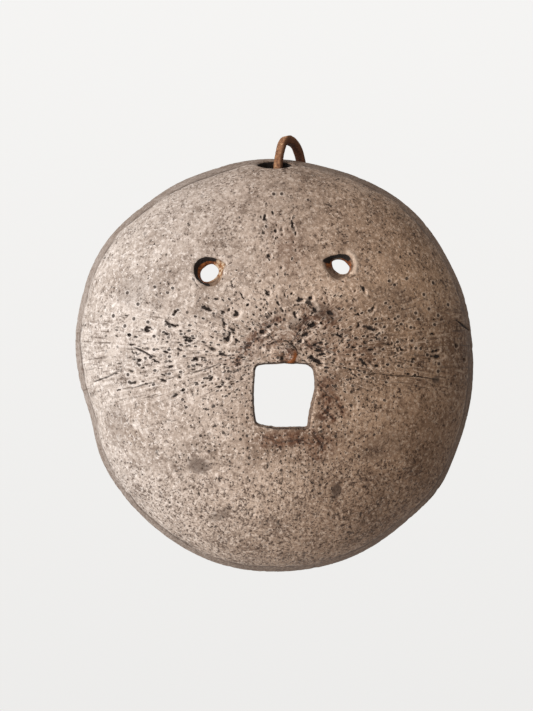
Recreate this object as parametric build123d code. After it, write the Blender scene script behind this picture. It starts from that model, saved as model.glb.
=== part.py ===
from build123d import *
import math
import os

# Hanging face mask: half of a hard-rind gourd shell, with eye holes, a mouth and a leather thong.
# Row frame: origin on the flat back rim at its lowest point, midway through the wall.
# +X is to the right of a viewer who faces the mask, -Y is the front, +Z is up. Millimetres.

# Shell form
RIM_HEIGHT = 163.0          # rim, bottom to top
RIM_WIDTH = 157.0           # rim, side to side
DEPTH = 49.0                # rim plane to the crown of the face
SIDE_WALL = 14.0            # depth of the straight, conical wall beside the rim
DRAFT = math.radians(19.0)  # lean of that wall
WALL = 5.5
RIM_ROUNDING = 1.2
RIM_TRIM = 0.05             # left behind the rim plane for the last flat cut

# The shell is turned round and narrowed to its oval at the end. Places across the face are
# widened by this much on the round form, so that they come out where they are stated.
WIDEN = RIM_HEIGHT / RIM_WIDTH

# Height of the rim's middle above the origin
WALL_AT_RIM = WALL / math.cos(DRAFT)
CENTRE_HEIGHT = RIM_HEIGHT / 2 - WALL_AT_RIM / 2

# Face openings, placed from the middle of the rim: across, up
EYES = [
    {"x": -23.3, "z": 35.3, "tilt": 35.0},
    {"x": 24.7, "z": 35.7, "tilt": -32.0},
]
EYE_BORE = (4.0, 3.1)       # half-length and half-width at the back of the wall
EYE_FUNNEL = (6.8, 5.8)     # the same at the front of the wall
NOSE = (2.7, 4.6)           # middle of the stem scar
NOSE_RADIUS = 5.0
NOSE_HEIGHT = 1.0
NOSE_PIT = 1.3

# Hanging hole, and the saddle that the thong crosses the rim in
HOLE_X = 2.0
HOLE_DEPTH = 13.0           # hole's middle, forward of the rim plane
HOLE_RADIUS = 6.5
SADDLE_X = 9.0
SADDLE_WIDTH = 50.0
SADDLE_DEPTH = 3.0

# Leather thong: a plain round tube of the strap's own section area
THONG_DIAMETER = 2.8
KNOT_SIZE = (11.0, 8.0, 9.0)
KNOT_MIDDLE = (7.9, -7.6, 60.0)
TUBE_ARC_SHARE = 0.45

# Thong's route from one cut end, through the knot and the hole, over the rim and back
THONG_ROUTE = [
    (3.4, -13.4, 37.5), (4.2, -12.6, 46.0), (6.6, -9.4, 54.0), (7.2, -8.2, 61.5),
    (4.2, -10.3, 68.5), (3.1, -10.5, 75.0), (3.9, -10.1, 81.5), (6.3, -7.8, 89.8),
    (10.7, -4.2, 87.3), (12.9, -1.2, 80.2), (12.7, -1.0, 73.0), (11.0, -3.4, 66.6),
    (8.9, -6.8, 60.6), (9.6, -8.6, 53.0), (12.0, -9.3, 45.4), (12.9, -8.4, 36.6),
]


def dome_ellipse():
    """Join radius, semi-axes and turn of the ellipse that meets the conical wall at its slope."""
    slope = math.tan(DRAFT)
    join_radius = RIM_HEIGHT / 2 - SIDE_WALL * slope
    rise = DEPTH - SIDE_WALL
    cosine = rise * slope / (join_radius - rise * slope)
    across = join_radius / math.sqrt(1 - cosine ** 2)
    deep = rise / (1 - cosine)
    return join_radius, across, deep, math.acos(cosine)


def face_y(x, z):
    """Y of the outer surface in front of a place on the face."""
    _, across, deep, _ = dome_ellipse()
    radius = math.hypot(x * WIDEN, z)
    return -DEPTH + deep - deep * math.sqrt(1 - (radius / across) ** 2)


def turned_dome(inset):
    """Solid dome about Y, set in from the outside by a distance, cut flat behind the rim."""
    past_rim = 6.0
    join_radius, across, deep, turn = dome_ellipse()
    crown = (0, -DEPTH + inset)
    join = (join_radius - inset * math.cos(DRAFT), -SIDE_WALL + inset * math.sin(DRAFT))
    foot = (join[0] + (past_rim - join[1]) * math.tan(DRAFT), past_rim)
    between = []
    for share in (0.2, 0.4, 0.6, 0.8):
        angle = turn * share
        normal = Vector(math.sin(angle) / across, -math.cos(angle) / deep).normalized()
        on_ellipse = Vector(across * math.sin(angle), -DEPTH + deep - deep * math.cos(angle))
        between.append(on_ellipse - normal * inset)
    curve = Spline(crown, *between, join, tangents=[(1, 0), (math.sin(DRAFT), math.cos(DRAFT))])
    outline = curve + Line(join, foot) + Line(foot, (0, past_rim)) + Line((0, past_rim), crown)
    return revolve(make_face(outline), Axis.Y, 360) - behind(RIM_TRIM)


def behind(y):
    """Block of everything behind a plane that faces the wall."""
    reach = 2 * RIM_HEIGHT
    return Pos(0, y + reach / 2, 0) * Box(reach, reach, reach)


def round_bowl():
    """Turned shell with its rim edges worn round."""
    bowl = turned_dome(0.0) - turned_dome(WALL)
    rim_edges = bowl.edges().filter_by(lambda edge: edge.center().Y > 0)
    return fillet(rim_edges, RIM_ROUNDING)


def facing_front(x, y, z, tilt=0.0):
    """Plane that looks out of the face, with its own x across and its own y up."""
    return Plane((x * WIDEN, y, z), x_dir=(1, 0, 0), z_dir=(0, -1, 0)) * Rot(0, 0, tilt)


def eye_cutter(eye):
    """Carved funnel that narrows to a slanted oval through the wall."""
    ahead = 4.0
    flare = 1.2
    surface = face_y(eye["x"], eye["z"])
    front = facing_front(eye["x"], surface - ahead, eye["z"], eye["tilt"])
    throat = facing_front(eye["x"], surface + 0.7 * WALL, eye["z"], eye["tilt"])
    funnel = loft([
        front * Ellipse(EYE_FUNNEL[0] * flare, EYE_FUNNEL[1] * flare),
        throat * Ellipse(*EYE_BORE),
    ])
    return funnel + extrude(throat * Ellipse(*EYE_BORE), -3 * WALL)


def mouth_cutter():
    """Four-sided opening with bowed edges and one sharp lower corner."""
    top_left, top, top_right = (-7.7, -0.6), (2.5, 1.1), (12.8, -1.0)
    right, low_right, low_middle = (13.6, -9.4), (10.3, -21.8), (-0.8, -21.8)
    low_left, left_foot, left = (-6.5, -20.4), (-8.3, -18.4), (-8.7, -9.5)
    corner_radius = 2.6
    outline = (
        ThreePointArc(top_left, top, top_right)
        + ThreePointArc(top_right, right, low_right)
        + Line(low_right, low_middle)
        + Line(low_middle, low_left)
        + RadiusArc(low_left, left_foot, corner_radius)
        + ThreePointArc(left_foot, left, top_left)
    )
    return extrude(facing_front(0, -DEPTH / 2, 0) * make_face(outline), DEPTH)


def stem_scar():
    """Low round boss where the stem or the flower was, outside the middle of the wall."""
    x, z = NOSE
    flattened = scale(Sphere(NOSE_RADIUS), by=(1, NOSE_HEIGHT / NOSE_RADIUS, 1))
    return Pos(x * WIDEN, face_y(x, z), z) * flattened - turned_dome(WALL / 2)


def scar_pit():
    """Small hollow low in the middle of the boss."""
    x, z = NOSE
    return Pos(x * WIDEN + 0.3, face_y(x, z) - NOSE_HEIGHT, z - 1.0) * Sphere(NOSE_PIT)


def hanging_hole_cutter():
    """Round hole square to the side wall at the top."""
    surface_z = RIM_HEIGHT / 2 - HOLE_DEPTH * math.tan(DRAFT)
    outward = Plane((HOLE_X * WIDEN, -HOLE_DEPTH, surface_z), x_dir=(1, 0, 0),
                    z_dir=(0, -math.sin(DRAFT), math.cos(DRAFT)))
    return outward * Cylinder(HOLE_RADIUS, 4 * WALL)


def saddle_cutter():
    """Shallow scallop in the rim, where the thong crosses it."""
    radius = ((SADDLE_WIDTH / 2) ** 2 + SADDLE_DEPTH ** 2) / (2 * SADDLE_DEPTH)
    return Pos(SADDLE_X * WIDEN, radius - SADDLE_DEPTH, RIM_HEIGHT / 2) * Cylinder(radius, 6 * WALL)


def gourd_shell():
    """The whole shell with its openings cut, narrowed to the oval and trimmed flat."""
    shell = round_bowl()
    for eye in EYES:
        shell -= eye_cutter(eye)
    shell += stem_scar()
    shell -= scar_pit()
    shell -= mouth_cutter()
    shell -= hanging_hole_cutter()
    shell -= saddle_cutter()
    oval = scale(shell, by=(1 / WIDEN, 1, 1))
    return oval - behind(0.0)


def corner_radii(points):
    """One arc radius for each inner point of a route."""
    radii = []
    for before, corner, after in zip(points, points[1:], points[2:]):
        arriving = Vector(corner) - Vector(before)
        leaving = Vector(after) - Vector(corner)
        half_turn = math.radians(arriving.get_angle(leaving)) / 2
        shorter = min(arriving.length, leaving.length)
        radii.append(TUBE_ARC_SHARE * shorter / math.tan(half_turn))
    return radii


def hanging_thong():
    """Round tube along the thong's route."""
    radii = corner_radii(THONG_ROUTE)
    path = FilletPolyline(*THONG_ROUTE, radius=radii)
    tube = sweep(Plane(path @ 0, z_dir=path % 0) * Circle(THONG_DIAMETER / 2), path)
    plain_volume = math.pi * THONG_DIAMETER ** 2 / 4 * path.length
    print("thong arc radii, mm:", [round(radius, 1) for radius in radii])
    print("thong length, mm:", round(path.length, 1))
    print("tube volume over section times length:", round(tube.volume / plain_volume, 4))
    return tube


def thong_knot():
    """Closed solid of the overhand knot's outer shape."""
    half_size = tuple(size / 2 for size in KNOT_SIZE)
    return Pos(*KNOT_MIDDLE) * scale(Sphere(1.0), by=half_size)


def main():
    os.makedirs("parts", exist_ok=True)
    nodes = {
        "gourd_shell": gourd_shell(),
        "hanging_thong": hanging_thong(),
        "thong_knot": thong_knot(),
    }
    for name, solid in nodes.items():
        export_step(Pos(0, 0, CENTRE_HEIGHT) * solid, f"parts/{name}.step")


main()
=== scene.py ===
import math

import bpy
import numpy as np
import openvdb
from mathutils import Matrix, Vector


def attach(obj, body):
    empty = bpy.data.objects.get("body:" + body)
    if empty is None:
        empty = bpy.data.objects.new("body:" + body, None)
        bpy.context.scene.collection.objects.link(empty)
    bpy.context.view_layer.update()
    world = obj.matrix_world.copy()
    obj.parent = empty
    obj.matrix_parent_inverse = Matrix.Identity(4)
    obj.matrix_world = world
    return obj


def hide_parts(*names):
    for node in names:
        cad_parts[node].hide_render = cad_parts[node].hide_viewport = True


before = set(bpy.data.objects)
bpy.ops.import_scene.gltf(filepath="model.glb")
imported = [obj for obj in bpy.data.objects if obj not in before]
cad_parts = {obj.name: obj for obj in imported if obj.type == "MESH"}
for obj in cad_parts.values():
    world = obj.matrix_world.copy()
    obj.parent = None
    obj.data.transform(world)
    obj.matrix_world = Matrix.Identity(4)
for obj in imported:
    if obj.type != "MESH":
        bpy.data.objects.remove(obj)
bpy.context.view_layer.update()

# Sizes are written in millimetres from the middle of the rim, as in the part's source, and
# put_in_frame() takes them to the row frame in metres. X is right, -Y is the front, Z is up.
CENTRE_HEIGHT = 78.5915
DEPTH = 49.0
WALL = 5.5
RIM_RADIUS = 81.5
SIDE_WALL = 14.0
LEAN = math.radians(19.0)
SLOPE = math.tan(LEAN)
WIDEN = 163.0 / 157.0
# Hanging hole, and the saddle that the thong crosses the rim in
HOLE_X, HOLE_FORWARD, HOLE_RADIUS = 2.0, 13.0, 6.5
HOLE_Z = RIM_RADIUS - HOLE_FORWARD * SLOPE
SADDLE_X, SADDLE_DEPTH = 9.0, 3.0
SADDLE_RADIUS = (25.0 ** 2 + SADDLE_DEPTH ** 2) / (2 * SADDLE_DEPTH)
TOP_ONLY = 50.0     # the hole and the saddle are cut only above this height
VOXEL = 0.56
rng = np.random.default_rng(7)


def put_in_frame(points):
    """Points in mm from the rim's middle, as metres in the row frame."""
    return (np.asarray(points, dtype=float) + (0.0, 0.0, CENTRE_HEIGHT)) / 1000.0


# ---------------------------------------- camera
camera = bpy.data.objects.new("camera", bpy.data.cameras.new("camera"))
bpy.context.scene.collection.objects.link(camera)
camera.data.lens = 58.73
camera.data.clip_start = 0.01
roll = math.radians(2.0)
camera.matrix_world = Matrix((
    (math.cos(roll), math.sin(roll), 0.0, -0.00362),
    (0.0, 0.0, -1.0, -0.460),
    (-math.sin(roll), math.cos(roll), 0.0, 0.08288),
    (0.0, 0.0, 0.0, 1.0),
))
bpy.context.scene.camera = camera


# ---------------------------------------- numbers
def smooth(a, b, x):
    t = np.clip((x - a) / (b - a), 0.0, 1.0)
    return t * t * (3 - 2 * t)


def soft_max(a, b, k):
    """Greater of two distances, rounded over k mm where they meet."""
    h = np.clip(k - np.abs(a - b), 0.0, None) / k
    return np.maximum(a, b) + h * h * k * 0.25


def noise2(u, v, seed):
    """Smooth value noise from -1 to 1, one cell a unit."""
    iu, iv = np.floor(u).astype(np.int64), np.floor(v).astype(np.int64)
    fu, fv = u - iu, v - iv
    su, sv = fu * fu * (3 - 2 * fu), fv * fv * (3 - 2 * fv)

    def corner(du, dv):
        n = (iu + du) * 374761393 + (iv + dv) * 668265263 + seed * 1442695041
        n = (n ^ (n >> 13)) * 1274126177 & 0x7FFFFFFF
        return ((n ^ (n >> 16)) & 0xFFFF) / 32767.5 - 1.0

    top = corner(0, 0) * (1 - su) + corner(1, 0) * su
    low = corner(0, 1) * (1 - su) + corner(1, 1) * su
    return top * (1 - sv) + low * sv


def fractal(u, v, seed, octaves):
    total, size, norm = 0.0, 1.0, 0.0
    for i in range(octaves):
        total = total + size * noise2(u * 2 ** i + 17.3 * i, v * 2 ** i - 9.1 * i, seed + i)
        norm += size
        size *= 0.5
    return total / norm


def to_segment(x, z, a, b):
    """Distance to the line a-b and the share of the way along it."""
    ax, az = a
    dx, dz = b[0] - ax, b[1] - az
    t = np.clip(((x - ax) * dx + (z - az) * dz) / (dx * dx + dz * dz), 0.0, 1.0)
    return np.hypot(x - ax - t * dx, z - az - t * dz), t


def rounded(points, steps=6):
    """Closed smooth outline through the points."""
    p = np.asarray(points, dtype=float)
    out = []
    for i in range(len(p)):
        a, b, c, d = p[i - 1], p[i], p[(i + 1) % len(p)], p[(i + 2) % len(p)]
        for t in np.linspace(0, 1, steps, endpoint=False):
            out.append(0.5 * (2 * b + (c - a) * t + (2 * a - 5 * b + 4 * c - d) * t ** 2
                              + (3 * b - a - 3 * c + d) * t ** 3))
    return np.array(out)


def outline_distance(x, z, points, far=12.0):
    """Distance to a closed outline, negative inside, exact only near it."""
    p = np.asarray(points, dtype=float)
    low, high = p.min(0) - far, p.max(0) + far
    near = (x > low[0]) & (x < high[0]) & (z > low[1]) & (z < high[1])
    xs, zs = x[near], z[near]
    best = np.full(xs.shape, far)
    inside = np.zeros(xs.shape, bool)
    for a, b in zip(p, np.roll(p, -1, axis=0)):
        best = np.minimum(best, to_segment(xs, zs, a, b)[0])
        crosses = (a[1] > zs) != (b[1] > zs)
        rise = b[1] - a[1] if b[1] != a[1] else 1e-9
        inside ^= crosses & (xs < (b[0] - a[0]) * (zs - a[1]) / rise + a[0])
    out = np.full(x.shape, far)
    out[near] = np.where(inside, -best, best)
    return out


def hole_distance(x, y, z):
    """Distance from the middle line of the hanging hole."""
    along = (y + HOLE_FORWARD) * math.cos(LEAN) + (z - HOLE_Z) * math.sin(LEAN)
    return np.hypot(x - HOLE_X, along)


# ---------------------------------------- the shell's outer profile
def outer_profile():
    """Radius, y and run along the surface, from the crown to past the rim."""
    join = RIM_RADIUS - SIDE_WALL * SLOPE
    rise = DEPTH - SIDE_WALL
    cosine = rise * SLOPE / (join - rise * SLOPE)
    across, deep = join / math.sqrt(1 - cosine ** 2), rise / (1 - cosine)
    turn = np.linspace(0.0, math.acos(cosine), 260)
    radius = across * np.sin(turn)
    y = -DEPTH + deep - deep * np.cos(turn)
    wall_y = np.linspace(-SIDE_WALL, 6.0, 90)[1:]
    radius = np.append(radius, RIM_RADIUS + wall_y * SLOPE)
    y = np.append(y, wall_y)
    run = np.append(0.0, np.cumsum(np.hypot(np.diff(radius), np.diff(y))))
    return radius, y, run


PROFILE_RADIUS, PROFILE_Y, PROFILE_RUN = outer_profile()

# How far the outline stands out from the oval, by direction: middle and half width in degrees, mm
OUTLINE_BUMPS = [(146, 22, 4.3), (117, 9, 0.9), (45, 20, 2.3), (18, 9, 0.7), (170, 9, 0.8),
                 (91, 16, 1.4), (193, 9, -2.2), (252, 16, 0.7), (290, 16, 0.6), (322, 9, 1.4)]


def outline_bump(x, z):
    angle = np.degrees(np.arctan2(z, x * WIDEN)) % 360
    total = np.zeros_like(angle)
    for middle, half, size in OUTLINE_BUMPS:
        off = (angle - middle + 180) % 360 - 180
        total += size * np.exp(-(off / half) ** 2)
    return total


def profile_radius(x, z):
    """Distance from the middle with the uneven outline taken out."""
    radius = np.hypot(x * WIDEN, z)
    return radius - outline_bump(x, z) * smooth(20.0, 84.0, radius)


def distance_rows(ys, radii):
    """Distance outside the profile for every y and radius."""
    rows = []
    for y in ys:
        far = np.hypot(radii[:, None] - PROFILE_RADIUS, y - PROFILE_Y)
        wall = np.interp(y, PROFILE_Y, PROFILE_RADIUS, left=-1.0)
        rows.append(np.where(radii < wall, -1.0, 1.0) * far.min(1))
    return np.array(rows)


# ---------------------------------------- openings
MOUTH = [(-7.5, 0.2), (-6.9, 0.85), (-2.5, 1.15), (2.5, 1.25), (7.0, 0.9), (10.9, 0.3),
         (12.4, -0.7), (12.9, -2.1), (13.1, -5.0), (13.0, -7.8), (12.4, -10.8), (11.6, -13.5),
         (10.7, -17.0), (10.0, -21.8), (4.5, -21.6), (-1.2, -21.5), (-6.8, -20.3), (-7.6, -19.9),
         (-8.2, -19.2), (-8.6, -15.6), (-8.7, -9.9), (-8.2, -4.2), (-7.8, -0.7)]
EYES = [
    {"mouth": [(-29.3, 37.3), (-28.0, 39.8), (-25.4, 41.1), (-22.1, 40.8), (-18.5, 39.5),
               (-16.0, 37.5), (-17.6, 35.9), (-18.3, 32.7), (-19.9, 30.4), (-22.7, 29.3),
               (-25.9, 30.8), (-28.6, 33.5)],
     "bore": [(-26.6, 33.4), (-26.4, 35.6), (-25.4, 37.1), (-22.5, 38.4), (-20.2, 36.8),
              (-20.2, 34.6), (-22.3, 32.3), (-25.0, 31.9)]},
    {"mouth": [(16.7, 38.1), (20.2, 39.5), (25.7, 40.2), (28.2, 38.6), (29.0, 35.9),
               (27.7, 33.4), (25.6, 31.0), (22.8, 29.9), (20.3, 31.7), (18.6, 34.0),
               (18.0, 36.3)],
     "bore": [(21.4, 37.2), (22.3, 38.3), (25.3, 38.2), (27.4, 36.3), (27.8, 34.7),
              (26.4, 33.0), (23.9, 33.1), (22.0, 34.9)]},
]
# Colours of the eyes' walls, with painted shade where they turn from the light and painted light where
# they face it: kind, direction, half spread, and how deep it starts and ends in mm
EYE_TONES = [
    [("char_and_shade", 165, 105, 0.0, -1.9), ("amber", 150, 110, -1.7, -6.0), ("lit_pale_wood", 12, 36, -1.0, -6.0),
     ("lit_pale_wood", -60, 30, -3.0, -6.0)],
    [("char_and_shade", 100, 62, 0.0, -2.4), ("amber", 20, 60, -1.6, -6.0), ("lit_pale_wood", -75, 30, -3.0, -6.0),
     ("amber", 165, 18, -1.0, -6.0)],
]
NOSE = (2.7, 4.8)
LIP = [(27.3, 40.8), (29.4, 39.3), (30.1, 35.9), (29.4, 33.3)]


def broad_relief(x, z):
    """Slow swell of the face, the stem scar and the raised lip of an eye, in mm outward."""
    swell = 0.55 * fractal(x / 34.0, z / 34.0, 11, 2) + 0.22 * fractal(x / 11.0, z / 11.0, 21, 2)
    dx, dz = x - NOSE[0], z - NOSE[1]
    far = np.hypot(dx, dz)
    pit = 1.4 * np.exp(-((dx - 0.2) ** 2 + (dz + 1.2) ** 2) / 1.6)
    boss = 1.3 * (1 - smooth(3.0, 5.2, far)) - pit
    ridges = 0.3 * np.cos((far - 6.2) * 2.6 + 0.2 * dx) * smooth(4.6, 5.6, far) * smooth(12.5, 9.0, far)
    ridges *= smooth(-0.1, 0.5, dz / np.maximum(far, 0.1))
    lip_and_highlight = np.zeros_like(x)
    for a, b in zip(LIP, LIP[1:]):
        lip_and_highlight = np.maximum(lip_and_highlight, 0.45 * np.exp(-(to_segment(x, z, a, b)[0] / 0.75) ** 2))
    return swell + boss + ridges + lip_and_highlight


def shell_mesh():
    """Closed surface of the shell with every opening cut."""
    x = np.arange(-83.0, 83.0, VOXEL)
    y = np.arange(-51.5, 1.6, VOXEL)
    z = np.arange(-84.5, 84.5, VOXEL)
    flat_x, flat_z = np.meshgrid(x, z, indexing="ij")
    radii = np.arange(0.0, 122.0, 0.3)
    rows = distance_rows(y, radii)
    radius = profile_radius(flat_x, flat_z)
    relief = broad_relief(flat_x, flat_z) * (1 - smooth(60.0, 76.0, radius))
    jitter = 0.12 * fractal(flat_x / 1.6, flat_z / 1.6, 31, 2)
    mouth = outline_distance(flat_x, flat_z, MOUTH) + jitter
    right_wall = smooth(5.0, 11.5, flat_x)
    eyes = [(outline_distance(flat_x, flat_z, rounded(e["mouth"], 4)) + jitter,
             outline_distance(flat_x, flat_z, rounded(e["bore"])) + jitter) for e in EYES]
    field = np.empty((len(x), len(y), len(z)), np.float32)
    for i, height in enumerate(y):
        plain = np.interp(radius.ravel(), radii, rows[i]).reshape(radius.shape)
        outer = plain - relief
        shell = soft_max(outer, -(plain + WALL), 0.6)
        shell = soft_max(shell, height + 0.12 + 0.1 * jitter, 1.7)
        deep = -outer
        shell = soft_max(shell, -(mouth + 0.19 * (np.clip(deep, 0, 6) - 5.0) * right_wall), 0.5)
        share = np.clip(deep / 3.6, -1.2, 1.0)
        for wide, narrow in eyes:
            shell = soft_max(shell, -(wide + (narrow - wide) * share), 0.45)
        hole = hole_distance(flat_x, height, flat_z) - HOLE_RADIUS - 0.4 * jitter
        shell = soft_max(shell, -np.maximum(hole, TOP_ONLY - flat_z), 1.2)
        saddle = np.hypot(flat_x - SADDLE_X, height - SADDLE_RADIUS + SADDLE_DEPTH) - SADDLE_RADIUS
        shell = soft_max(shell, -np.maximum(saddle, TOP_ONLY - flat_z), 1.6)
        field[:, i, :] = shell
    np.clip(field, -1.5, 1.5, out=field)
    grid = openvdb.FloatGrid()
    grid.background = 1.5
    grid.copyFromArray(field, tolerance=1e-4)
    points, quads = grid.convertToQuads(0.0)
    points = np.asarray(points, float) * VOXEL + (x[0], y[0], z[0])
    return points, np.asarray(quads)


# ---------------------------------------- marks on the face
# Each gash is a line of points with its half width and depth
GASHES = [
    ([(-52.2, 9.1), (-49.0, 7.6), (-45.0, 5.2)], 0.7, 0.6),
    ([(-53.3, 13.5), (-52.6, 8.0), (-50.8, 2.5)], 0.35, 0.3),
    ([(-69.2, -3.4), (-63.5, -1.8), (-57.2, 0.8)], 0.6, 0.4),
    ([(-55.5, -6.5), (-48.0, -4.6), (-44.0, -3.9)], 0.45, 0.4),
    ([(-42.0, -3.9), (-38.0, -2.6), (-33.0, -0.6)], 0.4, 0.35),
    ([(-31.0, -1.2), (-24.0, 0.6), (-19.5, 2.4)], 0.5, 0.4),
    ([(-62.0, -11.5), (-54.0, -9.8), (-47.0, -8.4)], 0.3, 0.2),
    ([(-25.4, 8.8), (-21.5, 6.6)], 0.45, 0.4),
    ([(-19.0, 5.6), (-15.5, 3.4)], 0.45, 0.4),
    ([(18.8, 0.1), (25.0, -1.3), (32.0, -2.8)], 0.35, 0.35),
    ([(34.0, -3.3), (42.0, -4.6), (52.0, -5.4), (60.0, -7.0)], 0.45, 0.45),
    ([(26.0, -4.9), (33.0, -5.6), (38.0, -6.2)], 0.3, 0.25),
    ([(41.0, -6.9), (46.0, -7.4), (50.0, -7.9)], 0.3, 0.25),
    ([(30.0, 1.6), (36.0, 0.3), (40.0, -0.5)], 0.3, 0.25),
    ([(43.0, 1.4), (47.0, 0.6), (52.0, -0.8)], 0.3, 0.25),
    ([(68.7, 15.2), (72.5, 13.0), (76.1, 11.5)], 0.9, 0.7),
    ([(24.1, 30.5), (25.3, 29.9)], 0.5, 0.5),
    ([(-29.2, 33.4), (-28.1, 31.0), (-26.1, 28.8)], 0.35, 0.35),
    ([(-16.4, 37.6), (-14.6, 38.6)], 0.4, 0.4),
    ([(14.0, -24.0), (16.0, -25.8), (17.8, -27.5)], 0.3, 0.2),
]
# Thin rust-brown cracks
CRACKS = [
    [(-10.5, 7.5), (-6.0, 11.5), (-2.0, 15.0), (1.0, 16.5)], [(-15.0, 2.5), (-12.0, 5.5), (-10.0, 8.0)],
    [(14.0, -6.0), (17.0, -10.0), (16.0, -15.0), (19.0, -19.0)],
    [(17.5, -10.5), (21.0, -12.5), (23.0, -17.0)],
    [(-6.0, -24.5), (0.0, -27.0), (6.0, -26.0), (12.0, -28.0)],
    [(12.0, -24.0), (15.0, -28.5), (14.0, -33.0)],
    [(8.0, 14.0), (12.0, 17.5), (17.0, 19.5)], [(9.5, 8.0), (15.0, 7.0), (21.0, 4.0)],
]
# Dark patches: middle, half sizes, turn in degrees, strength
STAINS = [
    ((17.5, 19.0), (5.5, 2.6), -25, 0.6), ((8.0, 15.5), (3.5, 2.0), 20, 0.5),
    ((-29.1, -34.8), (4.3, 2.6), -8, 0.75), ((20.3, -45.4), (2.2, 2.7), 0, 0.85),
    ((-22.8, -53.7), (5.5, 2.2), 25, 0.5), ((58.8, -6.9), (1.6, 1.3), 0, 0.9),
    ((67.9, 5.4), (0.9, 0.9), 0, 1.0), ((71.5, 0.0), (0.8, 0.8), 0, 0.9),
    ((-52.0, 30.0), (7.0, 5.0), 30, 0.25), ((44.0, 22.0), (9.0, 6.0), -30, 0.25),
    ((-60.0, -20.0), (5.0, 8.0), 10, 0.22), ((38.0, -30.0), (8.0, 5.0), 20, 0.25),
]

# Reddish-brown patches, in the same way
RUST = [
    ((2.7, 4.4), (3.6, 3.6), 0, 1.0), ((17.5, -13.0), (3.5, 10.5), -6, 0.95),
    ((2.0, -25.5), (12.0, 3.0), 2, 0.9), ((14.0, -29.0), (8.0, 5.0), 0, 0.6),
    ((-8.5, 10.5), (8.5, 2.0), 45, 0.8), ((17.0, 17.0), (8.0, 6.0), -20, 0.75),
    ((3.0, 10.0), (11.0, 5.0), 0, 0.6), ((-14.0, 4.0), (8.0, 3.0), 10, 0.45),
    ((24.0, 6.0), (14.0, 6.0), -10, 0.45), ((5.0, 42.0), (8.0, 12.0), 0, 0.3),
]


def scattered(count, low, high, sizes, stretch, turn, depth):
    """Seeded pits in a box: middle, half sizes, turn, depth."""
    pits = []
    for _ in range(count):
        middle = rng.uniform(low, high)
        # most pits keep to the middle of their band
        middle[1] = (low[1] + high[1]) / 2 + (middle[1] - (low[1] + high[1]) / 2) * rng.uniform(0.3, 1.0)
        size = sizes[0] + (sizes[1] - sizes[0]) * rng.uniform() ** 3.2
        pits.append((middle, (size * rng.uniform(*stretch), size),
                     turn(middle) + rng.normal(0, 12), depth * rng.uniform(0.5, 1.0)))
    return pits


def away_from_nose(p):
    return math.degrees(math.atan2((p[1] - NOSE[1]) * 0.55, p[0] - NOSE[0]))


PITS = (
    scattered(120, (-60, -11), (-9, 22), (0.3, 1.0), (1.2, 3.0), away_from_nose, 0.6)
    + scattered(120, (8, -8), (60, 20), (0.3, 1.0), (1.2, 2.6), away_from_nose, 0.6)
    + scattered(34, (-4, 32), (9, 64), (0.3, 0.9), (1.0, 2.0), lambda p: 90.0, 0.55)
    + scattered(60, (-22, 6), (36, 36), (0.25, 0.95), (1.0, 2.2), lambda p: rng.uniform(0, 180), 0.6)
    + scattered(26, (-14, 11), (24, 27), (0.3, 1.2), (1.0, 1.9), lambda p: rng.uniform(0, 180), 0.65)
    + scattered(40, (-50, 30), (50, 62), (0.25, 0.5), (1.0, 1.6), lambda p: 60.0, 0.35)
    + scattered(80, (-45, -70), (45, -26), (0.25, 0.6), (1.0, 2.4), lambda p: 90.0, 0.35)
    + [(np.array((67.9, 5.4)), (0.9, 0.8), 0.0, 0.9), (np.array((71.5, 0.0)), (0.8, 0.7), 0.0, 0.8),
       (np.array((-13.5, 19.5)), (1.6, 1.2), 50.0, 0.7), (np.array((13.6, 14.5)), (1.7, 1.2), 10.0, 0.8),
       (np.array((-17.2, 10.4)), (1.7, 1.1), 60.0, 0.8), (np.array((-36.0, 21.0)), (1.3, 0.7), 50.0, 0.8)]
)


def reach(dx, dz, half, turn):
    """Distance from the middle of a turned oval, with 1 at its edge."""
    c, s = math.cos(math.radians(turn)), math.sin(math.radians(turn))
    return np.hypot((dx * c + dz * s) / half[0], (dz * c - dx * s) / half[1])


def patches(x, z, rows, edges, full, none):
    """Greatest strength of the oval patches, fading from full to none, with uneven edges."""
    total = np.zeros_like(x)
    for middle, half, turn, strength in rows:
        q = reach(x - middle[0], z - middle[1], half, turn) + edges
        total = np.maximum(total, strength * (1 - smooth(full, none, q)))
    return total


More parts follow.
